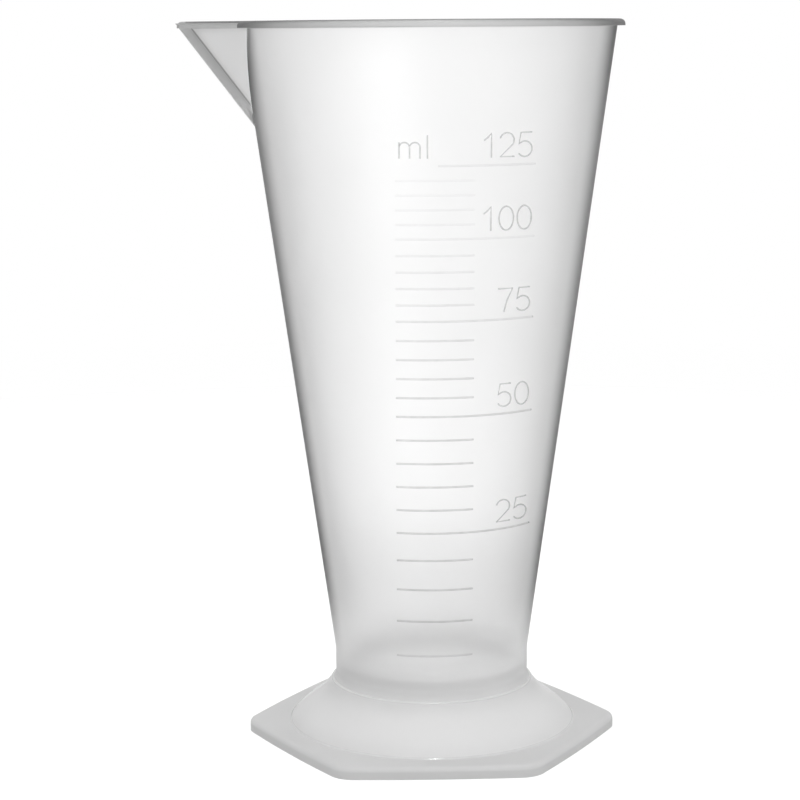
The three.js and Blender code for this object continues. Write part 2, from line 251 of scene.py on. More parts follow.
GROUPS = {
    "graduate_cup": CupSizes,
    "graduate_spout": SpoutSizes,
    "graduate_scale": ScaleSizes,
    "graduate_foot": FootSizes,
    "graduate_plastic": PlasticLook,
    "graduate_stage": StageLook,
}

# How finely the round shapes are divided.
TURNS = 192
ARC_STEPS = 12
FILLET_STEPS = 6
CORNER_STEPS = 8
FLARE_STEPS = 24
WALL_ROWS = 60
LINE_STEPS = 14
LIP_SEGMENTS = 6
FLANGE_SEGMENTS = 4
FLOOR_SIDES = 128

# How far a shape that cuts another reaches past it, and how close two vertices are one.
OVER = 0.002
WELD = 1e-6

# Edges sharper than this stay sharp, on the mouldings and on the thin strokes, in degrees.
MOULDED_EDGE = 30
STROKE_EDGE = 50

# How strongly the plastic bends light, and its tint in shadows and inside.
PLASTIC_IOR = 1.49
SHADOW_TINT = (0.93, 0.93, 0.93, 1)
INNER_TINT = (0.6, 0.6, 0.6, 1)

# How many waves, streaks, clouds and worn spots a metre of its skin has, and the streaks' stretch.
WAVES, STREAKS, CLOUDS, WORN_SPOTS = 160.0, 260.0, 45.0, 900.0
DRAWN_OUT = (1.0, 1.0, 0.06)

# How deep the waves are, in metres, the streaks' share of them, and how much these change the
# roughness and the milk.
WAVE_DEPTH, STREAK_SHARE = 0.0004, 0.3
CLOUD_ROUGHNESS, STREAK_ROUGHNESS, WORN_ROUGHNESS = 0.04, 0.03, 0.15
CLOUD_MILK = 0.03

# A noise texture's middle value.
NOISE_MIDDLE = 0.5

# How much of what the milk shows is light that comes through it.
GLOW_SHARE = 0.5

# How late the milk near the floor grows pale, and how near its edges the foot's milk grows thin.
LOW_POWER, THIN_POWER = 4.0, 8.0

# Where a part of the cup's milk or of its painted shade starts and where it is whole: in metres above the
# joint, above the lip's lower edge, outside the wall and above the uppermost line.
JOINT_SHADE = (0.0019, 0.0011)
NECK_FOOT = 0.0008
LIP_FOOT = (-0.0002, 0.0001)
SEAM = (0.0, 0.0003)
TOP_LINE = (-0.001, -0.0005)

# The same in widths of the keel's band and of the painted shade in its fold, and how pale the keel's milk is.
KEEL_END = (1.1, 0.9)
FOLD_START, FOLD_END = (0.95, 1.05), (1.3, 1.1)
KEEL_PALE = 0.6

# The same by how far the surface has turned away.
SIDE_TURN = (0.0, 0.35)
LIP_TURN = (0.3, 0.6)

# The same on the foot, in radii of its crease, of its upper edge and of the flange's edge.
CREASE_START, CREASE_END = (0.05, 0.1), (0.65, 0.5)
RING_START = (-0.8, -0.5)
UPRIGHT_START = (0.25, -0.25)

# The lamps face this point, the middle of the graduate.
AIM = Vector((0, 0, 0.06))

# Width of the camera's sensor, in millimetres.
SENSOR_WIDTH = 36.0


def axis_x():
    """Where the cup's axis stands: the lip reaches the part's box at +X."""
    scene = bpy.context.scene
    return VESSEL_HIGH.x - scene.graduate_cup.rim_radius - scene.graduate_spout.lip_reach


def joint_height():
    """Height where the cup sits on the foot."""
    return bpy.context.scene.graduate_foot.height


def neck_top():
    """Height where the cone begins."""
    return joint_height() + bpy.context.scene.graduate_cup.neck_height


def cone_slope():
    """How much the cone's radius grows per metre of height."""
    cup = bpy.context.scene.graduate_cup
    return (cup.rim_radius - cup.neck_radius) / (cup.rim_height - neck_top())


def cone_radius(z):
    """Outside radius of the cup's wall at a height."""
    cup = bpy.context.scene.graduate_cup
    return cup.neck_radius + cone_slope() * max(0.0, z - neck_top())


def floor_height():
    """Height of the cup's floor inside."""
    return joint_height() + bpy.context.scene.graduate_cup.floor_thickness


def joint_radius():
    """Radius where the neck's round part meets the foot."""
    cup = bpy.context.scene.graduate_cup
    return cup.neck_radius + cup.neck_fillet - math.sqrt(cup.neck_fillet**2 - cup.neck_fillet_height**2)


def arc(x, y, radius_x, radius_y, start, end, steps):
    """Points of an oval arc from one angle to another, in degrees."""
    turn = [math.radians(start + (end - start) * i / steps) for i in range(steps + 1)]
    return [(x + radius_x * math.cos(a), y + radius_y * math.sin(a)) for a in turn]


def select_only(*pieces):
    """Selects these objects alone, with the last one active."""
    bpy.ops.object.select_all(action="DESELECT")
    for piece in pieces:
        piece.select_set(True)
    bpy.context.view_layer.objects.active = pieces[-1]


def traced(name, points):
    """Pulls a line of vertices through the points, from a plane merged to one vertex."""
    bpy.ops.object.select_all(action="DESELECT")
    bpy.ops.mesh.primitive_plane_add(size=0.001, location=points[0])
    line = bpy.context.object
    line.name = line.data.name = name
    bpy.ops.object.transform_apply(location=True, rotation=False, scale=False)
    bpy.ops.object.mode_set(mode="EDIT")
    bpy.ops.mesh.select_all(action="SELECT")
    bpy.ops.mesh.merge(type="CENTER")
    for here, there in zip(points, points[1:]):
        step = Vector(there) - Vector(here)
        bpy.ops.mesh.extrude_region_move(TRANSFORM_OT_translate={"value": step})
    bpy.ops.mesh.select_all(action="SELECT")
    bpy.ops.mesh.remove_doubles(threshold=WELD)
    bpy.ops.object.mode_set(mode="OBJECT")
    return line


def turned(name, profile):
    """Spins a profile of (radius, height) pairs, which starts and ends on the axis, round the cup's axis."""
    middle = axis_x()
    piece = traced(name, [(middle + radius, 0.0, z) for radius, z in profile])
    bpy.ops.object.mode_set(mode="EDIT")
    bpy.ops.mesh.select_all(action="SELECT")
    bpy.ops.mesh.spin(steps=TURNS, angle=2 * math.pi, center=(middle, 0, 0), axis=(0, 0, 1))
    bpy.ops.mesh.select_all(action="SELECT")
    bpy.ops.mesh.remove_doubles(threshold=WELD)
    bpy.ops.mesh.normals_make_consistent(inside=False)
    bpy.ops.object.mode_set(mode="OBJECT")
    return piece


def pulled(name, outline, z, step):
    """Fills an outline, given round the cup's axis, and pulls it up along a step."""
    middle = axis_x()
    points = [(middle + x, y, z) for x, y in outline]
    piece = traced(name, points + points[:1])
    bpy.ops.object.mode_set(mode="EDIT")
    bpy.ops.mesh.select_all(action="SELECT")
    bpy.ops.mesh.edge_face_add()
    bpy.ops.mesh.extrude_region_move(TRANSFORM_OT_translate={"value": step})
    bpy.ops.mesh.select_all(action="SELECT")
    bpy.ops.mesh.normals_make_consistent(inside=False)
    bpy.ops.object.mode_set(mode="OBJECT")
    return piece


def round_top(piece, radius, segments):
    """Rounds the edges at the piece's upper face."""
    top = max(v.co.z for v in piece.data.vertices)
    select_only(piece)
    bpy.ops.object.mode_set(mode="EDIT")
    bpy.ops.mesh.select_mode(type="EDGE")
    bpy.ops.mesh.select_all(action="DESELECT")
    bpy.ops.object.mode_set(mode="OBJECT")
    for edge in piece.data.edges:
        edge.select = all(piece.data.vertices[v].co.z > top - WELD for v in edge.vertices)
    bpy.ops.object.mode_set(mode="EDIT")
    bpy.ops.mesh.bevel(offset=radius, segments=segments, affect="EDGES")
    bpy.ops.mesh.select_mode(type="VERT")
    bpy.ops.object.mode_set(mode="OBJECT")


def combined(piece, tool, operation):
    """Joins the tool to the piece or cuts it out, and removes it."""
    step = piece.modifiers.new(operation.title(), "BOOLEAN")
    step.operation = operation
    step.solver = "EXACT"
    step.object = tool
    select_only(piece)
    bpy.ops.object.modifier_apply(modifier=step.name)
    bpy.data.objects.remove(tool)


def smoothed(piece, degrees):
    """Smooth shading, with edges sharper than an angle kept."""
    select_only(piece)
    bpy.ops.object.shade_smooth_by_angle(angle=math.radians(degrees))


def dressed(piece, material, slot, *nodes):
    """Gives a piece its plastic, its body and the CAD nodes that it stands for."""
    piece.data.materials.clear()
    piece.data.materials.append(material)
    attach(piece, "root")
    if nodes:
        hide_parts(*nodes)


class Signal:
    """A shader socket that Python's arithmetic works on."""

    def __init__(self, nodes, socket):
        self.nodes, self.socket = nodes, socket

    def math(self, operation, first, second):
        made = self.nodes.add("ShaderNodeMath", {"operation": operation}, {0: first, 1: second})
        return Signal(self.nodes, made.outputs[0])

    def __add__(self, other):
        return self.math("ADD", self, other)

    def __radd__(self, other):
        return self.math("ADD", other, self)

    def __sub__(self, other):
        return self.math("SUBTRACT", self, other)

    def __rsub__(self, other):
        return self.math("SUBTRACT", other, self)

    def __mul__(self, other):
        return self.math("MULTIPLY", self, other)

    def __rmul__(self, other):
        return self.math("MULTIPLY", other, self)

    def __pow__(self, other):
        return self.math("POWER", self, other)

    def most(self, other):
        return self.math("MAXIMUM", self, other)


class Nodes:
    """A node tree that is written as a list of its nodes."""

    def __init__(self, owner):
        owner.use_nodes = True
        self.tree = owner.node_tree
        self.tree.nodes.clear()

    def add(self, kind, settings=None, values=None):
        """Adds a node of a type, with its settings first and then the values or links of its sockets."""
        made = self.tree.nodes.new(kind)
        for key, value in (settings or {}).items():
            setattr(made, key, value)
        for key, value in (values or {}).items():
            if isinstance(value, Signal):
                self.tree.links.new(value.socket, made.inputs[key])
            else:
                made.inputs[key].default_value = value
        return made

    def signal(self, kind, settings=None, values=None, output=0):
        """The same node's output, for use in an expression or as a link."""
        return Signal(self, self.add(kind, settings, values).outputs[output])

    def eased(self, value, start, end):
        """A soft step from 0 where a value is at its start to 1 where it is at its end."""
        settings = {"interpolation_type": "SMOOTHSTEP"}
        values = {"Value": value, "From Min": start, "From Max": end}
        return self.signal("ShaderNodeMapRange", settings, values)

    def noise(self, place, spots, detail):
        """Soft random spots, so many to a metre."""
        values = {"Vector": place, "Scale": spots, "Detail": detail}
        return self.signal("ShaderNodeTexNoise", values=values)

    def rays(self, *kinds):
        """For each kind of ray, 1 where it is the one that is traced and 0 elsewhere."""
        path = self.add("ShaderNodeLightPath")
        return [Signal(self, path.outputs[f"Is {kind} Ray"]) for kind in kinds]

    def tone(self, factor, first, second):
        """A colour between two, the first of which may be a link."""
        start = first if isinstance(first, Signal) else (*first, 1)
        values = {"Factor": factor, 6: start, 7: (*second, 1)}
        return self.signal("ShaderNodeMix", {"data_type": "RGBA"}, values, output=2)

    def mixed(self, factor, first, second):
        """A shader between two."""
        return self.signal("ShaderNodeMixShader", values={0: factor, 1: first, 2: second})

    def glow(self, tone, bump):
        """Light that comes through the milk, in one colour."""
        return self.signal("ShaderNodeBsdfTranslucent", values={"Color": (*tone, 1), "Normal": bump})


def darker(tone, loss):
    """A colour that has lost a share of itself, for painted shade."""
    return [part * (1 - loss) for part in tone]


def plastic(name, body_of, gloss):
    """Natural polypropylene: a clear, faintly rough body, part of it covered by milk."""
    look = bpy.context.scene.graduate_plastic
    material = bpy.data.materials.new(name)
    nodes = Nodes(material)
    place = nodes.signal("ShaderNodeTexCoord", output="Object")
    drawn = nodes.signal("ShaderNodeMapping", values={"Vector": place, "Scale": DRAWN_OUT})
    wave = nodes.noise(place, WAVES, detail=2.0)
    streak = nodes.noise(drawn, STREAKS, detail=3.0)
    cloud = nodes.noise(place, CLOUDS, detail=3.0)
    relief = {"Strength": look.ripple, "Distance": WAVE_DEPTH, "Height": wave + streak * STREAK_SHARE}
    bump = nodes.signal("ShaderNodeBump", values=relief)
    facing = nodes.signal("ShaderNodeLayerWeight", values={"Blend": 0.5}, output="Facing")
    cover, skin, first, steps = body_of(nodes, facing, place)
    tone, glow = first, nodes.glow(first, bump)
    for factor, colour_there in steps:
        tone = nodes.tone(factor, tone, colour_there)
        glow = nodes.mixed(factor, glow, nodes.glow(colour_there, bump))
    rough = (cloud - NOISE_MIDDLE) * CLOUD_ROUGHNESS + (streak - NOISE_MIDDLE) * STREAK_ROUGHNESS + skin
    both = {"Roughness": rough, "IOR": PLASTIC_IOR, "Normal": bump}
    clear_body = {"Base Color": (1, 1, 1, 1), "Transmission Weight": 1.0, **both}
    glass = nodes.signal("ShaderNodeBsdfPrincipled", values=clear_body)
    milky_body = {"Base Color": tone, "Specular IOR Level": gloss, **both}
    milk = nodes.signal("ShaderNodeBsdfPrincipled", values=milky_body)
    covered = cover + (cloud - NOISE_MIDDLE) * CLOUD_MILK
    surface = nodes.mixed(covered, glass, nodes.mixed(GLOW_SHARE, milk, glow))
    shadow = nodes.signal("ShaderNodeLightPath", output="Is Shadow Ray")
    clear = nodes.signal("ShaderNodeBsdfTransparent", values={"Color": SHADOW_TINT})
    shadowed = nodes.mixed(shadow, surface, clear)
    inside = nodes.signal("ShaderNodeVolumeAbsorption", values={"Color": INNER_TINT, "Density": look.depth})
    nodes.add("ShaderNodeOutputMaterial", values={"Surface": shadowed, "Volume": inside})
    return material


def cup_body(nodes, facing, place):
    """The cup's milk: thin in the wall, thick and paler at the neck, on the lip and in the keel, with painted
    shade along the edges, near the rim, above the joint, in the floor's corner, on the lip's turned sides and
    in the keel's fold.
    """
    scene = bpy.context.scene
    look, cup, spout = scene.graduate_plastic, scene.graduate_cup, scene.graduate_spout
    joint, floor, rim = joint_height(), floor_height(), cup.rim_height
    lip_foot, keel_foot = rim - spout.lip_thickness, rim - spout.height
    apart = nodes.add("ShaderNodeSeparateXYZ", values={"Vector": place})
    x, y, height = [Signal(nodes, apart.outputs[axis]) for axis in "XYZ"]
    level = nodes.signal("ShaderNodeCombineXYZ", values={"X": x - axis_x(), "Y": y})
    radius = nodes.signal("ShaderNodeVectorMath", {"operation": "LENGTH"}, {0: level}, output="Value")

    low = nodes.eased(height, look.low_haze_top, joint + look.neck_haze_top / 2)
    neck = nodes.eased(height, joint + look.neck_haze_top, joint + NECK_FOOT)
    lip = nodes.eased(height - lip_foot, *LIP_FOOT)
    wall = (height - keel_foot) * cone_slope() + cone_radius(keel_foot)
    beyond = nodes.eased(radius - wall, *SEAM) * nodes.eased(height, keel_foot - OVER, keel_foot)
    keel_place = (height - keel_foot) * -keel_slope() + (axis_x() - cone_radius(keel_foot))
    across = (x - keel_place) * (1 / look.keel_band)
    keel = nodes.eased(across, *KEEL_END) * beyond
    # Painted shade: a thin dark line along the keel's inner side.
    fold = nodes.eased(across, *FOLD_START) * nodes.eased(across, *FOLD_END) * beyond

    # Real haze grows where the wall turns away; the dark milk that it shows there is painted shade.
    edge = nodes.eased(facing, look.edge_start, look.edge_end) * look.edge_haze
    side = nodes.eased(facing, *SIDE_TURN) * look.side_haze
    thin = low * look.low_haze + side + edge + beyond * look.spout_haze
    lip_cover = nodes.eased(facing, *LIP_TURN) * (look.lip_edge_haze - look.lip_haze) + look.lip_haze
    cover = thin.most(neck * look.foot_haze).most(lip * lip_cover)
    cover = cover.most(keel * look.keel_haze).most(fold * look.fold_haze)

    # Painted shade: darker milk in the floor's round corner inside.
    inside = cup.neck_radius - cup.wall
    corner = nodes.eased(radius, inside + cup.wall / 2, inside)
    corner = corner * nodes.eased(height, floor, floor + cup.floor_fillet / 4)
    corner = corner * nodes.eased(height, floor + cup.floor_fillet * 1.5, floor + cup.floor_fillet)
    # Painted shade: a darker band just above the joint.
    shaded = nodes.eased(height - joint, *JOINT_SHADE) * -look.joint_shade
    # Painted shade: the lip grows darker as it turns away.
    pale_lip = (1.0 - facing * look.lip_turn).most(look.lip_least) * lip
    pale = (low**LOW_POWER).most(neck).most(pale_lip).most(keel * KEEL_PALE)
    pale = pale + shaded + corner * -look.corner_shade
    # Painted shade: the thin wall's milk grows darker towards the rim.
    near_rim = nodes.eased(height, rim - look.rim_band, rim)
    rim_tone = darker(look.cup_milk, look.rim_shade)
    return cover, look.roughness, look.cup_milk, [(near_rim, rim_tone), (pale, look.thick_milk)]


def foot_body(nodes, facing, place):
    """The foot's milk: thick straight on, thinner along the edges, where one wall alone is seen, with painted
    shade on the flange's upright side.
    """
    look, foot = bpy.context.scene.graduate_plastic, bpy.context.scene.graduate_foot
    height = nodes.signal("ShaderNodeSeparateXYZ", values={"Vector": place}, output="Z")
    # Painted shade: the flange's upright side gets the darker milk.
    upright = foot.flange_thickness - foot.edge_round
    side = nodes.eased((height - upright) * (1 / foot.edge_round), *UPRIGHT_START)
    ring = nodes.eased((height - foot.height) * (1 / foot.ring_round), *RING_START)
    rise = (height - foot.flange_thickness) * (1 / foot.crease_round)
    crease = nodes.eased(rise, *CREASE_START) * nodes.eased(rise, *CREASE_END)
    skin = ring.most(crease) * (look.edge_roughness - look.foot_roughness) + look.foot_roughness
    cover = (facing**THIN_POWER) * -look.foot_edge + look.foot_haze
    return cover, skin, look.foot_milk, [(side, darker(look.foot_milk, look.flange_shade))]


def relief_plastic(name, shade_of):
    """The raised scale: the same plastic, with painted shade, a see-through grey over each stroke, for the
    light that its steep sides bend away.
    """
    look = bpy.context.scene.graduate_plastic
    material = bpy.data.materials.new(name)
    nodes = Nodes(material)
    place = nodes.signal("ShaderNodeTexCoord", output="Object")
    height = nodes.signal("ShaderNodeSeparateXYZ", values={"Vector": place}, output="Z")
    worn = nodes.noise(place, WORN_SPOTS, detail=2.0)
    surface = nodes.signal(
        "ShaderNodeBsdfPrincipled",
        values={
            "Base Color": (*look.cup_milk, 1),
            "Roughness": look.roughness + WORN_ROUGHNESS,
            "Specular IOR Level": look.cup_gloss,
            "Alpha": (worn + (1 - NOISE_MIDDLE)) * shade_of(nodes, height),
        },
    )
    nodes.add("ShaderNodeOutputMaterial", values={"Surface": surface})
    return material


def line_shade(nodes, height):
    """A line's painted shade: faint near the top of the scale, and lost again in the milk near the floor."""
    look, scale = bpy.context.scene.graduate_plastic, bpy.context.scene.graduate_scale
    uppermost = floor_height() + fill_height(scale.capacity)
    strong = nodes.eased(height - uppermost, *TOP_LINE) * look.top_line_shade
    fade = nodes.eased(height, look.line_fade_end, look.line_fade_start)
    faint = fade * (look.line_shade - look.line_fade) + look.line_fade
    lost = nodes.eased(height, look.line_loss_top, look.line_loss_foot) * -look.line_loss
    return faint * (lost + 1.0) + strong


def figure_shade(nodes, height):
    """A figure's painted shade, the same all the way up."""
    return bpy.context.scene.graduate_plastic.figure_shade


def once(make, name, *settings):
    """A material, made the first time that it is asked for."""
    return bpy.data.materials.get(name) or make(name, *settings)


def wedge(size, radius):
    """A V with a round tip at x = 0, open towards +X, and how far that tip is from the sharp one."""
    half = bpy.context.scene.graduate_spout.half_angle
    centre = radius / math.sin(half)
    swing = 90 - math.degrees(half)
    reach = size * math.tan(half)
    tip = arc(centre, 0, radius, radius, 180 - swing, 180 + swing, 2 * ARC_STEPS)
    return [(size, reach), *tip, (size, -reach)], centre - radius


def keel_slope():
    """How far the keel runs out per metre of height."""
    cup, spout = bpy.context.scene.graduate_cup, bpy.context.scene.graduate_spout
    return (cup.rim_radius + spout.reach - cone_radius(cup.rim_height - spout.height)) / spout.height


def slanted_wedge(name, radius, inset, top):
    """The V pulled up along the keel's slope."""
    cup, spout = bpy.context.scene.graduate_cup, bpy.context.scene.graduate_spout
    foot = cup.rim_height - spout.height
    outline, blunt = wedge(spout.reach + OVER, radius)
    tip = -(cone_radius(foot) - keel_slope() * OVER) + inset - blunt
    rise = top - foot + OVER
    placed = [(x + tip, y) for x, y in outline]
    return pulled(name, placed, foot - OVER, (-keel_slope() * rise, 0, rise))


def lip_outline():
    """The lip seen from above: a circle that runs out along both sides of the spout."""
    cup, spout = bpy.context.scene.graduate_cup, bpy.context.scene.graduate_spout
    radius = cup.rim_radius + spout.lip_reach
    outline, blunt = wedge(spout.reach + OVER, spout.keel_round + spout.lip_side)
    tip_reach = cup.rim_radius + spout.reach - keel_slope() * spout.lip_thickness + spout.lip_side
    sharp = tip_reach + blunt
    half = spout.half_angle
    in_circle = math.sqrt(radius**2 - (sharp * math.sin(half)) ** 2)
    side = sharp * math.cos(half) - in_circle
    corner = math.degrees(math.atan2(side * math.sin(half), side * math.cos(half) - sharp))
    circle = arc(0, 0, radius, radius, -corner, corner, round(TURNS * corner / 180))
    return [*circle, *[(x - sharp, y) for x, y in outline[1:-1]]]


def wall_heights(top):
    """The heights at which the cone's profile has a point, from the neck up."""
    return [neck_top() + (top - neck_top()) * i / WALL_ROWS for i in range(WALL_ROWS + 1)]


def cup_outside():
    """The cup's outside without spout and lip, with the spigot and the gate mark below."""
    cup, joint = bpy.context.scene.graduate_cup, joint_height()
    swing = math.degrees(math.asin(cup.neck_fillet_height / cup.neck_fillet))
    fillet = arc(
        cup.neck_radius + cup.neck_fillet,
        joint + cup.neck_fillet_height,
        cup.neck_fillet,
        cup.neck_fillet,
        180 + swing,
        180,
        FILLET_STEPS,
    )
    wall = [(cone_radius(z), z) for z in wall_heights(cup.rim_height)]
    return turned(
        "cup",
        [
            (0, joint - cup.gate_height),
            (cup.gate_radius, joint - cup.gate_height),
            (cup.gate_radius, joint),
            (cup.spigot_radius - cup.spigot_wall, joint),
            (cup.spigot_radius - cup.spigot_wall, VESSEL_LOW.z),
            (cup.spigot_radius, VESSEL_LOW.z),
            (cup.spigot_radius, joint),
            (joint_radius(), joint),
            *fillet[1:],
            *wall,
            (0, cup.rim_height),
        ],
    )


def cup_inside():
    """The space inside the cup, up to above the rim."""
    cup, floor = bpy.context.scene.graduate_cup, floor_height()
    radius = cup.neck_radius - cup.wall
    centre = radius - cup.floor_fillet
    fillet = arc(centre, floor + cup.floor_fillet, cup.floor_fillet, cup.floor_fillet, -90, 0, CORNER_STEPS)
    wall = [(cone_radius(z) - cup.wall, z) for z in wall_heights(cup.rim_height + OVER)]
    return turned("inside", [(0, floor), *fillet, *wall, (0, cup.rim_height + OVER)])


class GRADUATE_OT_cup(Operator):
    """Models the cup with its spout, lip, floor and spigot as one moulding"""

    bl_idname = "graduate.cup"
    bl_label = "Cup"

    def execute(self, context):
        scene = context.scene
        cup, spout, look = scene.graduate_cup, scene.graduate_spout, scene.graduate_plastic
        rim, thickness = cup.rim_height, spout.lip_thickness
        lip = pulled("lip", lip_outline(), rim - thickness, (0, 0, thickness))
        round_top(lip, spout.lip_round, LIP_SEGMENTS)
        piece = cup_outside()
        combined(piece, slanted_wedge("spout", spout.keel_round, 0, rim - spout.top_drop), "UNION")
        combined(piece, lip, "UNION")
        combined(piece, cup_inside(), "DIFFERENCE")
        inset = cup.wall / math.sin(spout.half_angle)
        channel = slanted_wedge("channel", spout.channel_round, inset, rim + OVER)
        combined(piece, channel, "DIFFERENCE")
        smoothed(piece, MOULDED_EDGE)
        material = once(plastic, "clear_plastic", cup_body, look.cup_gloss)
        dressed(piece, material, "cup_plastic", "vessel")
        return {"FINISHED"}


def fill_height(millilitres):
    """Height above the floor at which the cup holds a volume."""
    cup = bpy.context.scene.graduate_cup
    volume = millilitres * 1e-6
    radius = cup.neck_radius - cup.wall
    depth = neck_top() - floor_height()
    in_neck = math.pi * radius**2 * depth
    if volume <= in_neck:
        return volume / (math.pi * radius**2)
    cubed = radius**3 + 3 * cone_slope() * (volume - in_neck) / math.pi
    return depth + (cubed ** (1 / 3) - radius) / cone_slope()


def line_height(millilitres):
    """Height of a line above the floor, evenly spaced between two figures as on the real scale."""
    step = bpy.context.scene.graduate_scale.figure_step
    past = millilitres % step
    below = millilitres - past
    if past == 0 or below == 0:
        return fill_height(millilitres)
    start, end = fill_height(below), fill_height(below + step)
    return start + (end - start) * past / step


def stroke(name, points, width, closed=False):
    """A raised stroke along (x, z) points on the front of the cup's wall."""
    relief = bpy.context.scene.graduate_scale.relief
    middle = axis_x()
    lift = relief - width / 2
    path = []
    for x, z in points:
        radius = cone_radius(z) + lift
        path.append((middle + x, -math.sqrt(radius**2 - x**2), z))
    if closed:
        path.append(path[0])
    line = traced(name, path)
    select_only(line)
    bpy.ops.object.convert(target="CURVE")
    line = bpy.context.object
    line.data.bevel_depth = width / 2
    line.data.bevel_resolution = 2
    line.data.use_fill_caps = True
    bpy.ops.object.convert(target="MESH")
    return bpy.context.object


def joined(name, strokes):
    """Joins the strokes to one piece."""
    select_only(*strokes)
    bpy.ops.object.join()
    piece = bpy.context.object
    piece.name = piece.data.name = name
    smoothed(piece, STROKE_EDGE)
    return piece


def marked_volumes(scale):
    """Each marked volume, with its height and whether it has a figure."""
    for volume in range(scale.line_step, scale.capacity + 1, scale.line_step):
        yield volume, floor_height() + line_height(volume), volume % scale.figure_step == 0


class GRADUATE_OT_lines(Operator):
    """Models the raised lines of the scale"""

    bl_idname = "graduate.lines"
    bl_label = "Scale lines"

    def execute(self, context):
        scale = context.scene.graduate_scale
        strokes = []
        for volume, z, has_figure in marked_volumes(scale):
            start = -scale.line_half
            if volume == scale.capacity:
                start = scale.unit_start + 2 * scale.unit_stem_pitch + scale.unit_letter_gap + scale.unit_gap
            end = scale.long_end if has_figure else scale.line_half
            points = [(start + (end - start) * i / LINE_STEPS, z) for i in range(LINE_STEPS + 1)]
            strokes.append(stroke("line", points, scale.line_width))
        piece = joined("scale_lines", strokes)
        dressed(piece, once(relief_plastic, "line_plastic", line_shade), "cup_plastic")
        return {"FINISHED"}


def figure_strokes():
    """The one stroke of each figure, in a cell 1 wide and 1 high."""
    return {
        "0": arc(0.5, 0.5, 0.5, 0.5, 0, 345, 23),
        "1": [(0.2, 0.7), (0.5, 0.86), (0.7, 1), (0.7, 0.5), (0.7, 0)],
        "2": [*arc(0.5, 0.7, 0.48, 0.3, 165, -35, 14), (0.04, 0.02), (1, 0.02)],
        "5": [(0.95, 1), (0.2, 1), (0.06, 0.53), *arc(0.47, 0.32, 0.5, 0.32, 125, -145, 18)],
        "7": [(0, 1), (1, 1), (0.62, 0.5), (0.4, 0)],
    }


class GRADUATE_OT_figures(Operator):
    """Models the raised figures of the scale"""

    bl_idname = "graduate.figures"
    bl_label = "Scale figures"

    def execute(self, context):
        scale = context.scene.graduate_scale
        shapes = figure_strokes()
        strokes = []
        for volume, z, has_figure in marked_volumes(scale):
            for i, figure in enumerate(reversed(str(volume) if has_figure else "")):
                left = scale.long_end - scale.figure_inset - scale.figure_width - scale.figure_pitch * i
                foot = z + scale.figure_lift
                wide, high = scale.figure_width, scale.figure_height
                points = [(left + x * wide, foot + h * high) for x, h in shapes[figure]]
                strokes.append(stroke("figure", points, scale.stroke_width, figure == "0"))
        piece = joined("scale_figures", strokes)
        dressed(piece, once(relief_plastic, "figure_plastic", figure_shade), "cup_plastic")
        return {"FINISHED"}


class GRADUATE_OT_unit(Operator):
    """Models the raised unit beside the uppermost line"""

    bl_idname = "graduate.unit"
    bl_label = "Unit"

    def execute(self, context):
        scale = context.scene.graduate_scale
        foot = floor_height() + fill_height(scale.capacity) + scale.figure_lift
        arch = scale.unit_stem_pitch / 2
        first = scale.unit_start
        stem = [(first, foot), (first, foot + scale.unit_height)]
        strokes = [stroke("stem", stem, scale.stroke_width)]
        for step in (1, 2):
            x = first + step * scale.unit_stem_pitch
            bow = arc(x - arch, foot + scale.unit_height - arch, arch, arch, 160, 0, CORNER_STEPS)
            strokes.append(stroke("arch", [*bow, (x, foot)], scale.stroke_width))
        x = first + 2 * scale.unit_stem_pitch + scale.unit_letter_gap
        tall = [(x, foot), (x, foot + scale.unit_tall_height)]
        strokes.append(stroke("tall", tall, scale.stroke_width))
        piece = joined("scale_unit", strokes)
        dressed(piece, once(relief_plastic, "figure_plastic", figure_shade), "cup_plastic")
        return {"FINISHED"}


def flange_outline():
    """The flange seen from above: six bowed sides with round corners, two corners on the X axis."""
    foot = bpy.context.scene.graduate_foot
    apothem = foot.across_flats / 2
    corner_distance = (apothem - foot.corner_radius) / math.cos(math.pi / 6)
    half = corner_distance / 2
    points = []
    for corner in range(6):
        turn = 60 * corner
        x = corner_distance * math.cos(math.radians(turn))
        y = corner_distance * math.sin(math.radians(turn))
        points += arc(x, y, foot.corner_radius, foot.corner_radius, turn - 30, turn + 30, ARC_STEPS)
        normal = math.radians(turn + 30)
        cosine, sine = math.cos(normal), math.sin(normal)
        for i in range(1, ARC_STEPS):
            t = 2 * i / ARC_STEPS - 1
            out = apothem + foot.bow * (1 - t * t)
            across = half * t
            points.append((out * cosine - across * sine, out * sine + across * cosine))
    return points


def flare_side(inset, steps):
    """The flare's side, an S from the flange up to the joint, moved in by a wall's width if wanted."""
    foot = bpy.context.scene.graduate_foot
    bottom = Vector((foot.flare_radius, foot.flange_thickness))
    top = Vector((joint_radius() + foot.ring_step, foot.height))
    low = bottom + Vector((-foot.foot_run, foot.foot_rise))
    high = top + Vector((foot.top_run, -foot.top_drop))
    points = []
    for i in range(steps + 1):
        t = i / steps
        place = bottom * (1 - t) ** 3 + low * 3 * t * (1 - t) ** 2 + high * 3 * t * t * (1 - t) + top * t**3
        along = (low - bottom) * (1 - t) ** 2 + (high - low) * 2 * t * (1 - t) + (top - high) * t * t
        along.normalize()
        points.append((place.x - inset * along.y, place.y + inset * along.x))
    return points


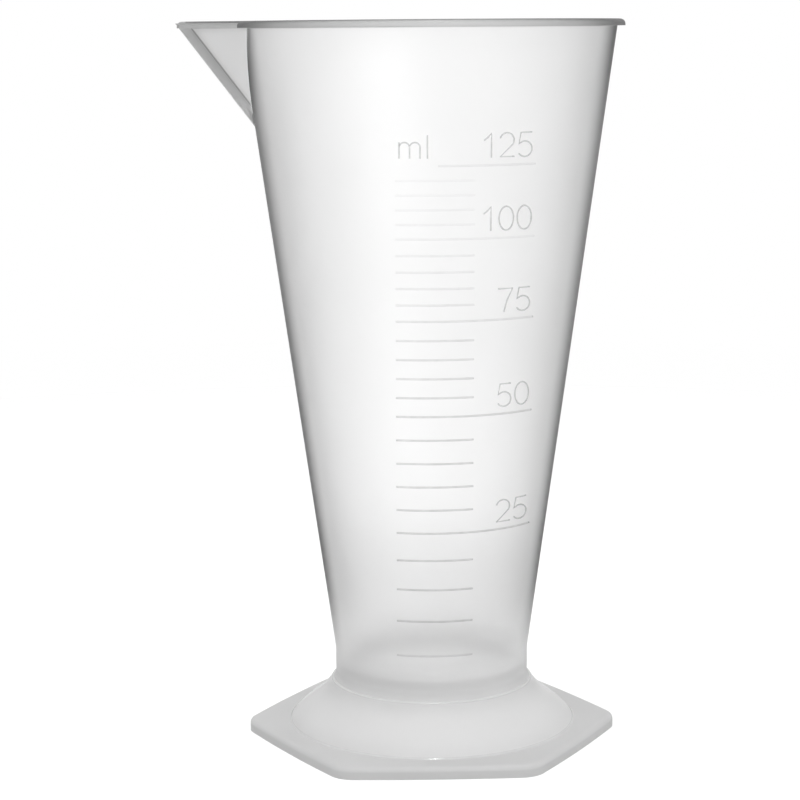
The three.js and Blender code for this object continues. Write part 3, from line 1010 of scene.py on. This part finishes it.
def flare_outside():
    """The flare's outside, with a round crease at the flange and a round edge at the joint."""
    foot = bpy.context.scene.graduate_foot
    lean = math.atan2(foot.foot_rise, foot.foot_run)
    crease = arc(
        foot.flare_radius + foot.crease_round * math.tan(lean / 2),
        foot.flange_thickness + foot.crease_round - WELD * 10,
        foot.crease_round,
        foot.crease_round,
        -90,
        -90 - math.degrees(lean),
        ARC_STEPS,
    )
    tilt = math.atan2(foot.top_run, foot.top_drop)
    edge = arc(
        joint_radius() + foot.ring_step - foot.ring_round * math.tan((math.pi / 2 - tilt) / 2),
        foot.height - foot.ring_round,
        foot.ring_round,
        foot.ring_round,
        math.degrees(tilt),
        90,
        ARC_STEPS,
    )
    between = [point for point in flare_side(0, FLARE_STEPS) if crease[-1][1] < point[1] < edge[0][1]]
    return [(crease[0][0], 0), *crease, *between, *edge]


class GRADUATE_OT_foot(Operator):
    """Models the hollow foot with its flare and six-sided flange"""

    bl_idname = "graduate.foot"
    bl_label = "Foot"

    def execute(self, context):
        scene = context.scene
        foot, cup, look = scene.graduate_foot, scene.graduate_cup, scene.graduate_plastic
        top = foot.height
        piece = turned("foot", [(0, 0), *flare_outside(), (0, top)])
        flange = pulled("flange", flange_outline(), 0, (0, 0, foot.flange_thickness))
        round_top(flange, foot.edge_round, FLANGE_SEGMENTS)
        combined(piece, flange, "UNION")
        plate = top - foot.wall
        inner = flare_side(foot.wall, FLARE_STEPS)
        under = [point for point in inner if point[1] < plate]
        last, after = inner[len(under) - 1], inner[len(under)]
        part = (plate - last[1]) / (after[1] - last[1])
        plate_radius = last[0] + part * (after[0] - last[0])
        hollow = [(0, -OVER), (under[0][0], -OVER), *under, (plate_radius, plate), (0, plate)]
        combined(piece, turned("hollow", hollow), "DIFFERENCE")
        socket = cup.spigot_radius + foot.clearance
        bore = [(0, plate - OVER), (socket, plate - OVER), (socket, top + OVER), (0, top + OVER)]
        combined(piece, turned("socket", bore), "DIFFERENCE")
        smoothed(piece, MOULDED_EDGE)
        material = once(plastic, "milky_plastic", foot_body, look.foot_gloss)
        dressed(piece, material, "foot_plastic", "foot")
        return {"FINISHED"}


def lamp(name, place, width, depth, power):
    """A soft rectangular lamp that faces the graduate."""
    bpy.ops.object.light_add(type="AREA", location=place)
    made = bpy.context.object
    made.name = made.data.name = name
    made.data.shape = "RECTANGLE"
    made.data.size, made.data.size_y = width, depth
    made.data.energy = power
    made.rotation_euler = (AIM - Vector(place)).to_track_quat("-Z", "Y").to_euler()


class GRADUATE_OT_stage(Operator):
    """Sets the floor, the lamps, the white surroundings and the camera"""

    bl_idname = "graduate.stage"
    bl_label = "Stage"

    def execute(self, context):
        scene, look = context.scene, context.scene.graduate_stage
        bpy.ops.object.select_all(action="DESELECT")
        bpy.ops.mesh.primitive_circle_add(vertices=FLOOR_SIDES, radius=look.floor_radius, fill_type="NGON")
        floor = context.object
        floor.name = floor.data.name = "floor"
        floor_look = bpy.data.materials.new("floor")
        nodes = Nodes(floor_look)
        place = nodes.signal("ShaderNodeTexCoord", output="Object")
        out = nodes.signal("ShaderNodeVectorMath", {"operation": "LENGTH"}, {0: place}, output="Value")
        faded = {"Value": out, "From Min": look.fade_start, "From Max": look.fade_end}
        fade = nodes.signal("ShaderNodeMapRange", values=faded)
        matt = nodes.signal("ShaderNodeBsdfDiffuse", values={"Color": (*look.floor_colour, 1)})
        seen, through = nodes.rays("Camera", "Transmission")
        lift = seen.most(through) * look.floor_lift
        glow = nodes.signal("ShaderNodeEmission", values={"Strength": lift})
        lifted = nodes.signal("ShaderNodeAddShader", values={0: matt, 1: glow})
        clear = nodes.signal("ShaderNodeBsdfTransparent")
        nodes.add("ShaderNodeOutputMaterial", values={"Surface": nodes.mixed(fade, lifted, clear)})
        floor.data.materials.append(floor_look)

        lamp("key_lamp", place=(-0.25, 0.10, 1.10), width=1.6, depth=1.2, power=look.key)
        lamp("fill_lamp", place=(0.5, -1.0, 0.6), width=0.8, depth=0.8, power=look.fill)
        lamp("top_lamp", place=(0.01, -0.20, 0.85), width=0.14, depth=0.05, power=look.top)

        world = bpy.data.worlds.new("surroundings")
        scene.world = world
        nodes = Nodes(world)
        seen, through, mirrored = nodes.rays("Camera", "Transmission", "Glossy")
        shown = seen.most(through).most(mirrored * look.mirrored)
        strength = shown * (1 - look.ambient) + look.ambient
        light = nodes.signal("ShaderNodeBackground", values={"Color": (1, 1, 1, 1), "Strength": strength})
        nodes.add("ShaderNodeOutputWorld", values={"Surface": light})

        bpy.ops.object.camera_add()
        camera = context.object
        camera.name = camera.data.name = "camera"
        camera.data.lens = look.lens
        camera.data.sensor_width = SENSOR_WIDTH
        camera.data.clip_start, camera.data.clip_end = 0.01, 20.0
        turn = look.side_turn
        camera.location = (
            axis_x() - look.distance * math.sin(turn),
            -look.distance * math.cos(turn),
            look.camera_height,
        )
        aimed = Euler((math.pi / 2 - look.pitch, 0, look.yaw - turn), "XYZ").to_matrix()
        leaned = Matrix.Rotation(look.roll, 3, "Z")
        camera.rotation_euler = (aimed @ leaned).to_euler()
        scene.camera = camera
        scene.view_settings.view_transform = "Standard"
        return {"FINISHED"}


class GRADUATE_PT_panel(Panel):
    """The graduate's steps and sizes"""

    bl_idname = "GRADUATE_PT_panel"
    bl_label = "Conical graduate"
    bl_space_type = "VIEW_3D"
    bl_region_type = "UI"
    bl_category = "Graduate"

    def draw(self, context):
        for operator in OPERATORS:
            self.layout.operator(operator.bl_idname)
        for name, group in GROUPS.items():
            box = self.layout.box()
            box.label(text=group.__doc__)
            for key in group.__annotations__:
                box.prop(getattr(context.scene, name), key)


OPERATORS = (
    GRADUATE_OT_cup,
    GRADUATE_OT_lines,
    GRADUATE_OT_figures,
    GRADUATE_OT_unit,
    GRADUATE_OT_foot,
    GRADUATE_OT_stage,
)


def register():
    for group in GROUPS.values():
        bpy.utils.register_class(group)
    for name, group in GROUPS.items():
        setattr(bpy.types.Scene, name, PointerProperty(type=group))
    for operator in OPERATORS:
        bpy.utils.register_class(operator)
    bpy.utils.register_class(GRADUATE_PT_panel)


def unregister():
    bpy.utils.unregister_class(GRADUATE_PT_panel)
    for operator in reversed(OPERATORS):
        bpy.utils.unregister_class(operator)
    for name in GROUPS:
        delattr(bpy.types.Scene, name)
    for group in reversed(GROUPS.values()):
        bpy.utils.unregister_class(group)


def main():
    register()
    bpy.ops.graduate.cup()
    bpy.ops.graduate.lines()
    bpy.ops.graduate.figures()
    bpy.ops.graduate.unit()
    bpy.ops.graduate.foot()
    bpy.ops.graduate.stage()


if __name__ == "__main__":
    main()
